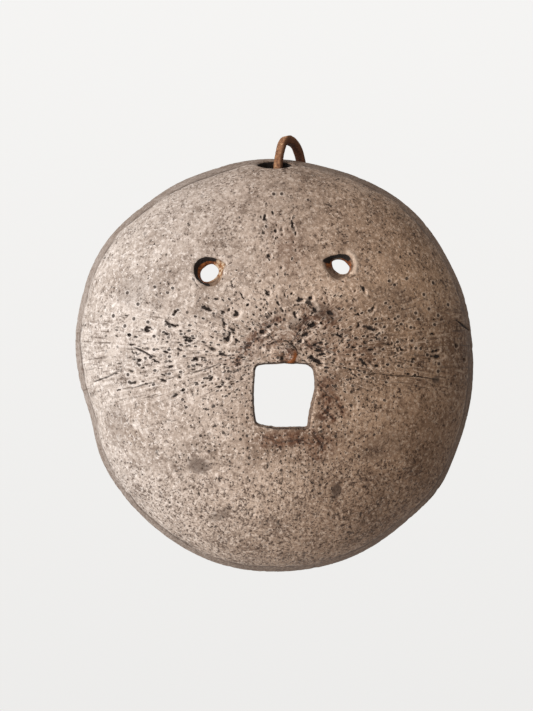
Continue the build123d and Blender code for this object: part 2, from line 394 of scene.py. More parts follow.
def carve(x, z):
    """Depth of pits and gashes in mm, and how dark, stained, raised and rusty each place is. The darkness
    holds painted shade inside pits and gashes, and the raised pit rims carry a painted highlight where
    they face the light.
    """
    depth, dark_marks_and_shade, lip_and_highlight = np.zeros_like(x), np.zeros_like(x), np.zeros_like(x)
    wobble = 0.42 * fractal(x / 0.9, z / 0.9, 51, 2)
    for middle, half, turn, deep in PITS:
        near = (np.abs(x - middle[0]) < 5) & (np.abs(z - middle[1]) < 5)
        dx, dz = x[near] - middle[0], z[near] - middle[1]
        q = reach(dx, dz, half, turn) + wobble[near]
        depth[near] = np.maximum(depth[near], deep * (1 - smooth(0.5, 1.2, q)))
        # the rim of a pit is pale towards the right, where it faces the light
        rim = smooth(0.85, 1.15, q) * smooth(1.75, 1.3, q) * min(1.0, deep * half[1] * 2.2)
        rim *= np.clip(0.6 + 0.5 * dx / half[0] - 0.3 * dz / half[1], 0, 1)
        lip_and_highlight[near] = np.maximum(lip_and_highlight[near], rim)
        # its core is dark, most of all on the side away from the light
        core = 1 - smooth(0.3, 0.8, q + 0.45 * dx / half[0] - 0.3 * dz / half[1])
        dark_marks_and_shade[near] = np.maximum(dark_marks_and_shade[near], core * min(1.0, 0.3 + 1.1 * deep))
    for points, half, deep in GASHES:
        for i, (a, b) in enumerate(zip(points, points[1:])):
            far, t = to_segment(x, z, a, b)
            along = (i + t) / (len(points) - 1)
            taper = 0.35 + 0.65 * np.sin(np.pi * np.clip(along, 0.02, 0.98)) ** 0.6
            cut = 1 - smooth(0.25, 1.0, far / (half * taper) + wobble * 0.8)
            depth = np.maximum(depth, deep * cut)
            # painted shade: a gash is darkened inside, more where it is deeper
            dark_marks_and_shade = np.maximum(dark_marks_and_shade, cut * (0.4 + 0.6 * deep))
    stain = patches(x, z, STAINS, 0.35 * fractal(x / 2.2, z / 2.2, 61, 3), 0.6, 1.35)
    rust = patches(x, z, RUST, 0.5 * fractal(x / 3.0, z / 3.0, 65, 3), 0.2, 1.4)
    crooked = 1.1 * fractal(x / 2.4, z / 2.4, 161, 3)
    for points in CRACKS:
        for a, b in zip(points, points[1:]):
            far = to_segment(x + crooked, z - crooked, a, b)[0]
            crack = 1 - smooth(0.15, 0.6, far + 0.3 * wobble)
            depth = np.maximum(depth, 0.18 * crack)
            dark_marks_and_shade = np.maximum(dark_marks_and_shade, 0.55 * crack)
            rust = np.maximum(rust, 0.9 * (1 - smooth(0.5, 2.2, far)))
    return depth, dark_marks_and_shade, stain, lip_and_highlight, rust


def refine(points, quads, chosen):
    """Splits the chosen quads in four. Their neighbours take the new points on shared edges."""
    edges = np.sort(np.stack([quads, np.roll(quads, -1, axis=1)], 2).reshape(-1, 2), axis=1)
    unique, where = np.unique(edges, axis=0, return_inverse=True)
    where = where.reshape(-1, 4)
    split = np.zeros(len(unique), bool)
    split[where[chosen].ravel()] = True
    middle = np.full(len(unique), -1)
    middle[split] = len(points) + np.arange(split.sum())
    centre = len(points) + split.sum() + np.arange(chosen.sum())
    points = np.concatenate([points, points[unique[split]].mean(1), points[quads[chosen]].mean(1)])
    q, m = quads[chosen], middle[where[chosen]]
    small = [np.stack([q[:, k], m[:, k], centre, m[:, k - 1]], 1) for k in range(4)]
    mids = middle[where]
    touched = ~chosen & (mids >= 0).any(1)
    plain = quads[~chosen & ~touched]
    rest = [[int(n) for k in range(4) for n in (quads[i, k], mids[i, k]) if n >= 0]
            for i in np.flatnonzero(touched)]
    return points, np.concatenate([plain] + small), rest


def new_object(name, points, faces, rest=()):
    """Mesh object from points in mm, faces of one size and a few others."""
    faces = np.asarray(faces)
    mesh = bpy.data.meshes.new(name)
    mesh.vertices.add(len(points))
    mesh.vertices.foreach_set("co", put_in_frame(points).astype(np.float32).ravel())
    corners = np.concatenate([faces.ravel()] + [np.asarray(r) for r in rest])
    sizes = np.concatenate([np.full(len(faces), faces.shape[1]), np.array([len(r) for r in rest], int)])
    mesh.loops.add(len(corners))
    mesh.loops.foreach_set("vertex_index", corners.astype(np.int32))
    mesh.polygons.add(len(sizes))
    starts = np.append(0, np.cumsum(sizes)[:-1])
    mesh.polygons.foreach_set("loop_start", starts.astype(np.int32))
    mesh.update(calc_edges=True)
    mesh.validate()
    mesh.shade_smooth()
    made = bpy.data.objects.new(name, mesh)
    bpy.context.scene.collection.objects.link(made)
    return made


def attribute(obj, name, values):
    layer = obj.data.attributes.new(name, "FLOAT", "POINT")
    layer.data.foreach_set("value", np.asarray(values, np.float32))


def normals_of(obj):
    out = np.empty(len(obj.data.vertices) * 3, np.float32)
    obj.data.vertex_normals.foreach_get("vector", out)
    return out.reshape(-1, 3).astype(float)


def eye_tones(x, z, outer):
    """How much of each of the eyes' wall colours a place has, painted shade and painted light among them.
    """
    tones = {kind: np.zeros_like(x) for kind in ("char_and_shade", "lit_pale_wood", "amber")}
    for eye, rows in zip(EYES, EYE_TONES):
        middle_x, middle_z = np.mean(eye["bore"], axis=0)
        dx, dz = x - middle_x, z - middle_z
        near = smooth(12.0, 8.0, np.hypot(dx, dz))
        turn = np.degrees(np.arctan2(dz, dx))
        for kind, middle, half, shallow, deep in rows:
            off = np.abs((turn - middle + 180) % 360 - 180)
            share = near * smooth(half + 14, half - 6, off)
            share *= smooth(shallow + 0.4, shallow - 0.2, outer) * smooth(deep - 0.6, deep, outer)
            np.maximum(tones[kind], share, out=tones[kind])
    return tones


def make_shell():
    points, quads = shell_mesh()
    # finer faces where the face is pitted and cut
    marked = carve(points[:, 0], points[:, 2])
    marked = (marked[0] > 0.02) & (points[:, 1] < -0.5)
    centre = points[quads].mean(1)
    plain = profile_radius(centre[:, 0], centre[:, 2])
    outside = centre[:, 1] < np.interp(plain, PROFILE_RADIUS, PROFILE_Y) + 1.6
    chosen = marked[quads].any(1) & outside
    points, quads, rest = refine(points, quads, chosen)
    first = new_object("shell_draft", points, quads, rest)
    normal = normals_of(first)
    bpy.data.objects.remove(first)

    x, y, z = points.T
    radius = profile_radius(x, z)
    ys, radii = np.arange(-53.0, 3.0, 0.5), np.arange(0.0, 122.0, 0.5)
    rows = distance_rows(ys, radii)
    iy = np.clip((y + 53.0) / 0.5, 0, len(ys) - 1.001)
    ir = np.clip(radius / 0.5, 0, len(radii) - 1.001)
    jy, jr = iy.astype(int), ir.astype(int)
    fy, fr = iy - jy, ir - jr
    plain = ((rows[jy, jr] * (1 - fr) + rows[jy, jr + 1] * fr) * (1 - fy)
             + (rows[jy + 1, jr] * (1 - fr) + rows[jy + 1, jr + 1] * fr) * fy)
    outer = plain - broad_relief(x, z) * (1 - smooth(60.0, 76.0, radius))

    # which surface each point is on
    away = np.stack([x * WIDEN, np.zeros_like(x), z], 1) / np.maximum(np.hypot(x * WIDEN, z), 1)[:, None]
    slope = np.interp(radius, PROFILE_RADIUS, np.gradient(PROFILE_Y, PROFILE_RADIUS))
    outward = np.stack([away[:, 0] * slope, -np.ones_like(x), away[:, 2] * slope], 1)
    outward /= np.linalg.norm(outward, axis=1)[:, None]
    facing = np.einsum("ij,ij->i", normal, outward)
    front = smooth(-0.9, -0.25, outer) * smooth(0.25, 0.75, facing)
    inside = smooth(0.9, 0.3, np.abs(plain + WALL)) * smooth(-0.3, -0.7, facing)
    rim = smooth(-1.6, -0.5, y)
    cut = np.clip(1 - front - inside - rim, 0.0, 1.0)

    # run along the surface, so that marks keep their size on the side walls
    run = np.interp(radius, PROFILE_RADIUS, PROFILE_RUN)
    stretch = run / np.maximum(radius, 1.0)
    u, v = x * stretch, z * stretch

    depth, dark_marks_and_shade, stain, lip_and_highlight, rust = carve(x, z)
    level = np.hypot(x - NOSE[0], z - NOSE[1])
    sides = smooth(0.25, 0.75, np.abs(x - NOSE[0]) / np.maximum(level, 1.0)) * smooth(7, 14, level)
    direction = np.arctan2(np.abs(z - NOSE[1]) * np.sign(z - NOSE[1]), np.abs(x - NOSE[0]) + 4.0)
    fibre = noise2(direction * 62.0, level / 13.0 + 40.0 * (x > NOSE[0]), 71)
    fibre = fibre + 0.6 * noise2(direction * 130.0, level / 7.0 + 40.0 * (x > NOSE[0]), 72)
    fibre_band = sides * smooth(24.0, 12.0, np.abs(z - NOSE[1] - 1.0))
    low_part = smooth(-30.0, -52.0, z)
    streak = noise2(u / 0.9, v / 12.0, 81) + 0.5 * noise2(u / 0.5, v / 5.0, 82)
    fine = fractal(u / 1.3, v / 1.3, 91, 3)
    grit = noise2(u / 0.55, v / 0.55, 95)
    relief = (0.075 * fibre * fibre_band + 0.05 * streak * low_part + 0.05 * fine + 0.02 * grit)
    relief += 0.10 * lip_and_highlight - depth - 0.12 * stain
    # narrow worn step where the face turns into the rim band
    from_rim = -y
    line = 13.0 + 2.2 * fractal(u / 16.0, v / 16.0, 101, 3)
    broken = smooth(-0.35, 0.35, fractal(u / 9.0, v / 9.0, 111, 3) + 0.1)
    groove = np.exp(-((from_rim - line) / 1.1) ** 2) * smooth(0.2, 0.7, np.abs(facing)) * broken
    relief -= 0.25 * groove
    # edges of the rim are chipped a little
    chip = smooth(0.25, 0.6, fractal(u / 3.2, v / 3.2, 121, 2)) * smooth(3.4, 0.6, from_rim)
    relief -= 0.25 * chip
    rough = 0.3 * fractal(u / 3.0, v / 3.0, 131, 3) + 0.12 * noise2(u / 0.9, v / 0.9, 135)
    whittle = 0.14 * fractal(x / 1.4, (y + z) / 1.4, 141, 2)
    push = relief * front + rough * inside + whittle * cut
    flat_rim = smooth(-0.55, -0.2, y)
    push *= 1 - flat_rim
    points = points + normal * push[:, None]

    shell = new_object("gourd_shell_worn", points, quads, rest)
    # the mouth's dark edge, which is painted shade from its walls, and the scar's broken ring, smudge and
    # orange crescent
    by_mouth = outline_distance(x, z, MOUTH, 60.0)
    mouth_edge_shade = 0.9 * np.exp(-((by_mouth - 0.1) / 0.65) ** 2) * smooth(12.0, 8.5, x)
    patchy = noise2(x / 1.7, z / 1.7, 151)
    right = x - NOSE[0]
    ring = np.exp(-((level - 4.2 - 0.7 * patchy) / 0.4) ** 2) * smooth(-0.6, 0.3, patchy + 0.25 * right)
    smudge = np.exp(-((x - 2.2) / 2.0) ** 2 - ((z - 3.2) / 1.3) ** 2) * smooth(-0.5, 0.4, patchy)
    dark_marks_and_shade = np.maximum.reduce([dark_marks_and_shade, mouth_edge_shade, 0.8 * ring, smudge])
    crescent = np.exp(-((level - 3.9) / 0.6) ** 2) * smooth(0.0, 2.0, right)
    crescent *= smooth(1.6, -0.6, z - NOSE[1])
    # a pale line along the raised lip of the right eye
    for a, b in zip(LIP, LIP[1:]):
        lip_and_highlight = np.maximum(lip_and_highlight, np.exp(-(to_segment(x, z, a, b)[0] / 0.8) ** 2))
    top = 0.36 * smooth(20.0, 60.0, z) * smooth(-62.0, -10.0, x)
    bands = smooth(25.0, 9.0, np.abs(z - 7.0 - 0.05 * np.abs(x))) * smooth(68.0, 40.0, np.abs(right))
    strip = smooth(9.0, 4.0, np.abs(x - 2.5)) * smooth(20.0, 30.0, z) * smooth(70.0, 60.0, z)
    tones = eye_tones(x, z, outer)
    # painted shade: the hanging hole's wall is painted near black
    by_hole = smooth(9.0, 7.6, hole_distance(x, y, z)) * smooth(60.0, 64.0, z)
    layers = {
        "dark_marks_and_shade": np.clip(dark_marks_and_shade * front, 0, 1), "stain": stain * front, "lip_and_highlight": lip_and_highlight * front,
        "rust": rust * front, "inside": inside, "cut": cut, "rim": np.clip(rim, 0, 1),
        "band": smooth(line + 0.3, line - 1.2, from_rim) * front,
        "line": np.clip(groove + 0.6 * chip, 0, 1) * front,
        "flat_u": u / 1000.0, "flat_v": v / 1000.0,
        # painted shade: darker towards the lower right, turned from the light, and darker over the top
        "painted_shade_and_dark_top": np.maximum(smooth(12.0, 76.0, 0.8 * x - 0.6 * z), top),
        # the right side browner and darker: partly the rind's own tone, partly painted shade
        "browner_and_shaded_right": smooth(-80.0, 62.0, x - 0.16 * z),
        "fan": fibre_band * front, "ray": direction, "level": level,
        "low": smooth(-22.0, -48.0, z) * front,
        "drop": np.arctan2(right, np.maximum(NOSE[1] - z, 4.0)),
        "pitting": np.maximum(bands, 0.3 * strip) * front,
        "middle": np.exp(-(((x - 5.0) / 20.0) ** 2 + ((z - 8.0) / 13.0) ** 2)),
        "pores": np.exp(-(np.maximum(by_mouth - 4, 0) / 16.0) ** 2),
        "char_and_shade": np.maximum(tones["char_and_shade"], by_hole * smooth(-0.2, -1.0, outer)) * cut,
        "lit_pale_wood": tones["lit_pale_wood"] * cut, "rusty": tones["amber"] * cut,
        "amber": np.clip(1.3 * crescent, 0, 1) * front,
    }
    for name, values in layers.items():
        attribute(shell, name, values)
    return shell


# ---------------------------------------- node material helpers
class Nodes:
    """Short hand for building a material's nodes."""

    def __init__(self, name):
        self.material = bpy.data.materials.new(name)
        self.material.use_nodes = True
        self.tree = self.material.node_tree
        self.tree.nodes.clear()
        self.out = self.tree.nodes.new("ShaderNodeOutputMaterial")
        self.shader = self.tree.nodes.new("ShaderNodeBsdfPrincipled")
        self.tree.links.new(self.shader.outputs[0], self.out.inputs[0])
        self.place = self.tree.nodes.new("ShaderNodeTexCoord").outputs["Object"]

    def put(self, value, socket):
        if isinstance(value, bpy.types.NodeSocket):
            self.tree.links.new(value, socket)
        elif isinstance(value, (tuple, list)) and len(value) == 3 and socket.type == "RGBA":
            socket.default_value = (*value, 1.0)
        else:
            socket.default_value = value

    def math(self, operation, a, b, clamp=False):
        node = self.tree.nodes.new("ShaderNodeMath")
        node.operation, node.use_clamp = operation, clamp
        self.put(a, node.inputs[0])
        self.put(b, node.inputs[1])
        return node.outputs[0]

    def times(self, first, *others):
        for other in others:
            first = self.math("MULTIPLY", first, other)
        return first

    def plus(self, a, b):
        return self.math("ADD", a, b)

    def span(self, value, low, high, to_low=0.0, to_high=1.0):
        node = self.tree.nodes.new("ShaderNodeMapRange")
        node.interpolation_type = "SMOOTHSTEP"
        self.put(value, node.inputs[0])
        for i, number in enumerate((low, high, to_low, to_high)):
            node.inputs[i + 1].default_value = number
        return node.outputs[0]

    def noise(self, mm, detail=3.0, rough=0.55, seed=0.0, place=None, distort=0.0):
        node = self.tree.nodes.new("ShaderNodeTexNoise")
        node.noise_dimensions = "4D"
        self.put(self.place if place is None else place, node.inputs["Vector"])
        node.inputs["W"].default_value = seed
        node.inputs["Scale"].default_value = 1000.0 / mm
        node.inputs["Detail"].default_value = detail
        node.inputs["Roughness"].default_value = rough
        node.inputs["Distortion"].default_value = distort
        return node.outputs[0]

    def pits(self, mm, place=None, share=1.0):
        """Distance from the nearest of some scattered points, and whether that one is a pit."""
        node = self.tree.nodes.new("ShaderNodeTexVoronoi")
        node.voronoi_dimensions = "3D" if place is None else "2D"
        self.put(self.place if place is None else place, node.inputs["Vector"])
        node.inputs["Scale"].default_value = 1000.0 / mm
        parts = self.tree.nodes.new("ShaderNodeSeparateColor")
        self.put(node.outputs["Color"], parts.inputs[0])
        chance = parts.outputs[0]
        return node.outputs["Distance"], self.span(self.math("SUBTRACT", share, chance), -0.02, 0.02)

    def combined(self, x, y):
        node = self.tree.nodes.new("ShaderNodeCombineXYZ")
        self.put(x, node.inputs[0])
        self.put(y, node.inputs[1])
        return node.outputs[0]

    def layer(self, name):
        node = self.tree.nodes.new("ShaderNodeAttribute")
        node.attribute_name = name
        return node.outputs["Fac"]

    def mix(self, share, a, b):
        node = self.tree.nodes.new("ShaderNodeMix")
        node.data_type = "RGBA"
        self.put(share, node.inputs[0])
        self.put(a, node.inputs[6])
        self.put(b, node.inputs[7])
        return node.outputs[2]

    def coat(self, share, over):
        """Lays a colour over the material's colour."""
        self.colour = self.mix(share, self.colour, over)

    def stretched(self, scale):
        node = self.tree.nodes.new("ShaderNodeMapping")
        self.put(self.place, node.inputs[0])
        node.inputs["Scale"].default_value = scale
        return node.outputs[0]

    def bump(self, height, mm, strength):
        node = self.tree.nodes.new("ShaderNodeBump")
        node.inputs["Strength"].default_value = strength
        node.inputs["Distance"].default_value = mm / 1000.0
        self.put(height, node.inputs["Height"])
        return node.outputs[0]


def srgb(r, g, b):
    """Linear colour from 0-255 values."""
    return tuple(((c / 255 + 0.055) / 1.055) ** 2.4 if c > 10 else c / 3294.6 for c in (r, g, b))


def gourd_material():
    n = Nodes("gourd_rind")
    browner_and_shaded_right = n.layer("browner_and_shaded_right")
    # weathered rind: silver-grey where worn, browner below; towards the right it is browner and darker,
    # partly the rind's own tone and partly painted shade turned from the light
    patch = n.noise(30, 5, 0.6, 1.0)
    cloud = n.noise(7, 6, 0.65, 2.0, distort=0.4)
    mottle = n.noise(1.9, 4, 0.75, 3.0)
    pale = n.mix(browner_and_shaded_right, srgb(200, 187, 177), srgb(182, 146, 116))
    brown = n.mix(browner_and_shaded_right, srgb(146, 126, 110), srgb(118, 86, 61))
    brownness = n.plus(n.times(patch, 0.9), n.times(n.layer("middle"), 0.12))
    n.colour = n.mix(n.span(brownness, 0.36, 0.74), pale, brown)
    shade = n.mix(browner_and_shaded_right, srgb(110, 90, 76), srgb(82, 55, 37))
    bright = n.mix(browner_and_shaded_right, srgb(236, 226, 219), srgb(226, 196, 170))
    n.coat(n.span(cloud, 0.46, 0.72, 0.0, 0.6), shade)
    n.coat(n.span(cloud, 0.44, 0.26, 0.0, 0.5), bright)
    n.coat(n.span(mottle, 0.50, 0.68, 0.0, 0.62), shade)
    n.coat(n.span(mottle, 0.48, 0.34, 0.0, 0.65), bright)
    # fine dark speckle and short flecks
    speck = n.noise(0.8, 2, 0.6, 4.0)
    fleck = n.noise(1.25, 3, 0.65, 12.0, distort=0.6)
    # the flecks are darkest under the painted shade on the lower right and on the right side
    murk = n.span(n.plus(n.layer("painted_shade_and_dark_top"), browner_and_shaded_right), 0.1, 1.3, 0.5, 1.0)
    murk = n.math("MAXIMUM", murk, n.layer("low"))
    gather = n.plus(n.noise(5.0, 4, 0.65, 14.0), n.times(n.layer("low"), 0.08))
    gather = n.span(gather, 0.42, 0.6, 0.25, 1.0)
    flecks = n.times(n.span(fleck, 0.53, 0.61, 0.0, 0.9), murk, gather)
    n.coat(flecks, n.mix(browner_and_shaded_right, srgb(72, 54, 42), srgb(50, 31, 20)))
    n.coat(n.span(fleck, 0.43, 0.36, 0.0, 0.75), bright)
    n.coat(n.times(n.span(speck, 0.54, 0.64, 0.0, 0.85), gather), srgb(56, 39, 29))
    # fibres that fan out from the scar, and streaks down the lower face
    level = n.layer("level")
    fan_place = n.combined(n.times(n.layer("ray"), 60.0), n.math("DIVIDE", level, 9.0))
    fibre = n.noise(1000.0, 3, 0.6, 8.0, place=fan_place)
    fan = n.layer("fan")
    n.coat(n.times(n.span(fibre, 0.54, 0.66), fan, 0.75), srgb(78, 60, 48))
    n.coat(n.times(n.span(fibre, 0.44, 0.34), fan, 0.55), bright)
    drop_place = n.combined(n.plus(n.times(n.layer("drop"), 62.0), n.times(cloud, 3.0)),
                            n.math("DIVIDE", level, 3.2))
    streak = n.noise(1000.0, 3, 0.6, 9.0, place=drop_place)
    low = n.times(n.layer("low"), n.span(n.noise(6.0, 4, 0.7, 16.0), 0.42, 0.62, 0.15, 1.0))
    n.coat(n.times(n.span(streak, 0.53, 0.64), low, 0.85), srgb(72, 54, 42))
    n.coat(n.times(n.span(streak, 0.46, 0.36), low, 0.6), bright)
    # small pits stretched along the fibres, and round pores about the mouth
    pit_place = n.combined(n.times(n.layer("ray"), 21.0), n.math("DIVIDE", level, 2.9))
    near, present = n.pits(1000.0, pit_place, n.times(n.layer("pitting"), 0.34))
    pit = n.times(n.span(near, 0.26, 0.13), present)
    # a pale ring round each pit: painted highlight on a slightly raised lip
    lip_and_highlight = n.times(n.span(near, 0.44, 0.28), n.span(near, 0.16, 0.27), present)
    flat = n.combined(n.layer("flat_u"), n.layer("flat_v"))
    share = n.plus(n.times(n.layer("pores"), 0.5), n.times(n.span(cloud, 0.42, 0.65), 0.1))
    near, present = n.pits(1.7, flat, share)
    pore = n.times(n.span(near, 0.22, 0.1), present)
    near, present = n.pits(2.9, flat, n.times(share, 0.45))
    pore = n.math("MAXIMUM", pore, n.times(n.span(near, 0.22, 0.12), present))
    holes = n.math("MAXIMUM", pit, pore)
    rust = n.times(n.layer("rust"), n.span(mottle, 0.36, 0.58, 0.15, 0.85))
    n.coat(rust, n.mix(browner_and_shaded_right, srgb(132, 92, 66), srgb(104, 64, 40)))
    clot = n.noise(2.6, 5, 0.7, 15.0, distort=1.2)
    n.coat(n.times(n.span(clot, 0.48, 0.56), n.layer("rust")), srgb(74, 44, 28))
    arc_place = n.combined(n.plus(n.times(level, 0.9), n.times(cloud, 5.0)),
                           n.times(n.layer("ray"), 2.5))
    arc = n.noise(1000.0, 2, 0.6, 11.0, place=arc_place)
    arcs = n.times(n.layer("middle"), n.span(level, 24.0, 9.0))
    n.coat(n.times(n.span(arc, 0.54, 0.64), arcs, 0.85), srgb(70, 46, 32))
    n.coat(n.times(n.span(arc, 0.46, 0.37), arcs, 0.6), bright)
    # painted highlight on the pits' rims where they face the light, and the pale line by the right eye
    n.coat(n.times(n.layer("lip_and_highlight"), 0.75), bright)
    # painted highlight: a pale ring round each small pit
    n.coat(n.times(lip_and_highlight, 0.5), bright)
    # painted shade: pits and pores are darkened inside
    n.coat(n.times(holes, 0.88), srgb(46, 33, 26))
    # painted shade: the lower right, turned from the light, and the top are darkened; then stains, dark
    # pits and the worn line by the rim
    n.coat(n.times(n.layer("painted_shade_and_dark_top"), 0.48), srgb(62, 35, 18))
    n.coat(n.times(n.layer("stain"), 0.9), srgb(74, 56, 45))
    band = n.mix(browner_and_shaded_right, srgb(112, 93, 80), srgb(92, 68, 51))
    n.coat(n.times(n.layer("band"), 0.55), band)
    n.coat(n.times(n.layer("line"), 0.9), srgb(72, 54, 43))
    dark_marks_and_shade = n.layer("dark_marks_and_shade")
    # dark marks: cracks and the scar's ring, with painted shade in the pits, gashes and along the mouth's
    # edge
    n.coat(n.span(dark_marks_and_shade, 0.2, 0.8), srgb(40, 29, 23))
    n.coat(n.times(n.layer("amber"), 0.9), srgb(176, 98, 44))
    # cut faces of the openings; at the eyes, pale new wood on the walls that face the light, partly
    # painted light, and charred edges on the walls turned from it, partly painted shade; the hanging
    # hole's wall is painted near black as shade
    grain = n.noise(1.2, 4, 0.65, 6.0, place=n.stretched((1.0, 0.35, 1.0)))
    wood = n.mix(n.span(grain, 0.35, 0.7), srgb(142, 117, 98), srgb(82, 60, 45))
    wood = n.mix(n.span(cloud, 0.5, 0.7, 0.0, 0.6), wood, srgb(60, 42, 31))
    lit_pale_wood = n.mix(n.span(grain, 0.42, 0.6), srgb(214, 190, 160), srgb(140, 88, 46))
    rusty = n.mix(n.span(grain, 0.35, 0.6), srgb(172, 98, 40), srgb(104, 52, 22))
    wood = n.mix(n.times(n.layer("rusty"), 0.9), wood, rusty)
    wood = n.mix(n.times(n.layer("lit_pale_wood"), 0.9), wood, lit_pale_wood)
    n.coat(n.span(n.layer("cut"), 0.25, 0.75), wood)
    char_and_shade = n.plus(n.layer("char_and_shade"), n.times(grain, 0.3))
    n.coat(n.span(char_and_shade, 0.4, 0.75), srgb(34, 26, 22))
    # inside: brown, fibrous pith
    pith = n.noise(1.6, 6, 0.75, 7.0, place=n.stretched((1.0, 1.0, 0.3)))
    inner = n.mix(n.span(pith, 0.36, 0.66), srgb(186, 154, 116), srgb(112, 82, 56))
    inner = n.mix(n.span(patch, 0.45, 0.65, 0.0, 0.5), inner, srgb(132, 102, 74))
    inner = n.mix(n.span(cloud, 0.56, 0.7, 0.0, 0.6), inner, srgb(78, 56, 38))
    n.coat(n.layer("inside"), inner)
    rim_wood = n.mix(n.span(grain, 0.4, 0.7), srgb(170, 142, 112), srgb(112, 84, 60))
    n.coat(n.times(n.layer("rim"), 0.85), rim_wood)
    n.put(n.colour, n.shader.inputs["Base Color"])
    rough = n.plus(n.span(mottle, 0.3, 0.7, 0.5, 0.72), n.times(n.layer("inside"), 0.2))
    rough = n.math("ADD", rough, n.times(dark_marks_and_shade, 0.2), clamp=True)
    n.put(rough, n.shader.inputs["Roughness"])
    n.shader.inputs["Specular IOR Level"].default_value = 0.3
    height = n.plus(n.times(mottle, 0.6), n.times(speck, -0.4))
    for factors in ((fleck, -0.6), (arc, arcs, -1.4), (holes, -1.3), (lip_and_highlight, 0.3), (fibre, fan, -0.9),
                    (streak, low, -0.7), (grain, n.layer("cut"), 0.8),
                    (pith, n.layer("inside"), 1.6)):
        height = n.plus(height, n.times(*factors))
    n.put(n.bump(height, 0.35, 0.9), n.shader.inputs["Normal"])
    return n.material


def leather_material():
    n = Nodes("thong_leather")
    edge, inner = n.layer("edge"), n.layer("flesh_side_and_shade")
    tan = n.mix(n.span(n.noise(3.0, 4, 0.6, 1.0), 0.35, 0.65), srgb(168, 122, 86), srgb(124, 82, 54))
    tan = n.mix(n.span(n.noise(0.9, 4, 0.75, 2.0), 0.46, 0.62, 0.0, 0.85), tan, srgb(82, 48, 32))
    tan = n.mix(n.span(n.noise(0.7, 3, 0.7, 6.0), 0.56, 0.68, 0.0, 0.6), tan, srgb(214, 178, 138))
    # the underside: the flesh side's darker colour, partly painted shade on the loop's inner face
    flesh_and_shade_colour = n.mix(n.span(n.noise(1.1, 4, 0.7, 3.0), 0.35, 0.7), srgb(98, 58, 38), srgb(64, 36, 24))
    n.colour = n.mix(inner, tan, flesh_and_shade_colour)
    n.coat(n.times(edge, 0.6), srgb(98, 62, 40))
    crease = n.span(n.pits(1.3)[0], 0.3, 0.1)
    n.coat(n.times(crease, 0.4), srgb(70, 40, 28))
    n.put(n.colour, n.shader.inputs["Base Color"])
    grit = n.noise(0.5, 3, 0.7, 5.0)
    n.put(n.span(grit, 0.3, 0.7, 0.6, 0.85), n.shader.inputs["Roughness"])
    n.shader.inputs["Specular IOR Level"].default_value = 0.3
    height = n.plus(n.times(grit, 0.6), n.times(crease, -0.6))
    n.put(n.bump(height, 0.2, 0.8), n.shader.inputs["Normal"])
    return n.material


def floor_material():
    n = Nodes("pale_floor")
    tone = n.noise(60, 3, 0.5, 1.0)
    colour = n.mix(n.span(tone, 0.3, 0.7), (0.80, 0.795, 0.785), (0.82, 0.815, 0.805))
    n.put(colour, n.shader.inputs["Base Color"])
    n.shader.inputs["Roughness"].default_value = 0.9
    n.shader.inputs["Emission Color"].default_value = (1.0, 0.995, 0.985, 1.0)
    n.shader.inputs["Emission Strength"].default_value = 0.1
    # the floor fades out towards its edge
    length = n.tree.nodes.new("ShaderNodeVectorMath")
    length.operation = "LENGTH"
    n.put(n.place, length.inputs[0])
    n.put(n.span(length.outputs["Value"], 0.25, 0.68, 1.0, 0.0), n.shader.inputs["Alpha"])
    return n.material


# ---------------------------------------- the leather thong
THONG_ROUTE = [
    (3.4, -13.4, 37.5), (4.2, -12.6, 46.0), (6.6, -9.4, 54.0), (7.2, -8.2, 61.5),
    (4.2, -10.3, 68.5), (3.1, -10.5, 75.0), (3.9, -10.1, 81.5), (6.3, -7.8, 89.8),
    (10.7, -4.2, 87.3), (12.9, -1.2, 80.2), (12.7, -1.0, 73.0), (11.0, -3.4, 66.6),
    (8.9, -6.8, 60.6), (9.6, -8.6, 53.0), (12.0, -9.3, 45.4), (12.9, -8.4, 36.6),
]
# Which way the strap's width runs at each point of the route
WIDTH_WAYS = [
    (0.8, -0.5, 0.1), (0.8, -0.5, 0.0), (0.7, -0.6, 0.0), (0.7, -0.7, 0.0),
    (0.7, -0.7, 0.0), (0.7, -0.7, 0.0), (0.7, -0.71, 0.0), (0.7, -0.71, 0.0),
    (0.74, -0.67, 0.0), (0.96, -0.25, 0.0), (1.0, 0.0, 0.0), (0.9, -0.3, 0.0),
    (0.7, -0.6, 0.0), (0.8, 0.4, 0.0), (0.8, 0.5, 0.0), (0.8, 0.5, 0.1),
]
STRAP_WIDTH, STRAP_THICKNESS = 3.7, 1.8
KNOT_MIDDLE = (7.9, -7.6, 60.0)


def nurbs_points(name, route):
    """Points read along a smooth NURBS that has the route as its control points, in mm."""
    data = bpy.data.curves.new(name, "CURVE")
    data.dimensions = "3D"
    line = data.splines.new("NURBS")
    line.points.add(len(route) - 1)
    for point, place in zip(line.points, put_in_frame(route)):
        point.co = (*place, 1.0)
    line.order_u = 3
    line.use_endpoint_u = True
    line.resolution_u = 14
    holder = bpy.data.objects.new(name, data)
    bpy.context.scene.collection.objects.link(holder)
    mesh = bpy.data.meshes.new_from_object(holder.evaluated_get(bpy.context.evaluated_depsgraph_get()))
    points = np.array([v.co[:] for v in mesh.vertices]) * 1000.0 - (0, 0, CENTRE_HEIGHT)
    bpy.data.objects.remove(holder)
    bpy.data.meshes.remove(mesh)
    return points


def strap_section(width, thickness, corner, steps=4):
    """Rounded rectangle: across the width, through the thickness, and whether it is an edge."""
    out = []
    for cx, cz, start in ((1, 1, 0), (-1, 1, 90), (-1, -1, 180), (1, -1, 270)):
        for k in range(steps):
            a = math.radians(start + 90 * k / (steps - 1))
            out.append((cx * (width / 2 - corner) + corner * math.cos(a),
                        cz * (thickness / 2 - corner) + corner * math.sin(a)))
    dense = []
    for a, b in zip(out, out[1:] + out[:1]):
        count = max(1, round(math.dist(a, b) / 0.35))
        dense += [(a[0] + (b[0] - a[0]) * k / count, a[1] + (b[1] - a[1]) * k / count)
                  for k in range(count)]
    return np.array(dense)


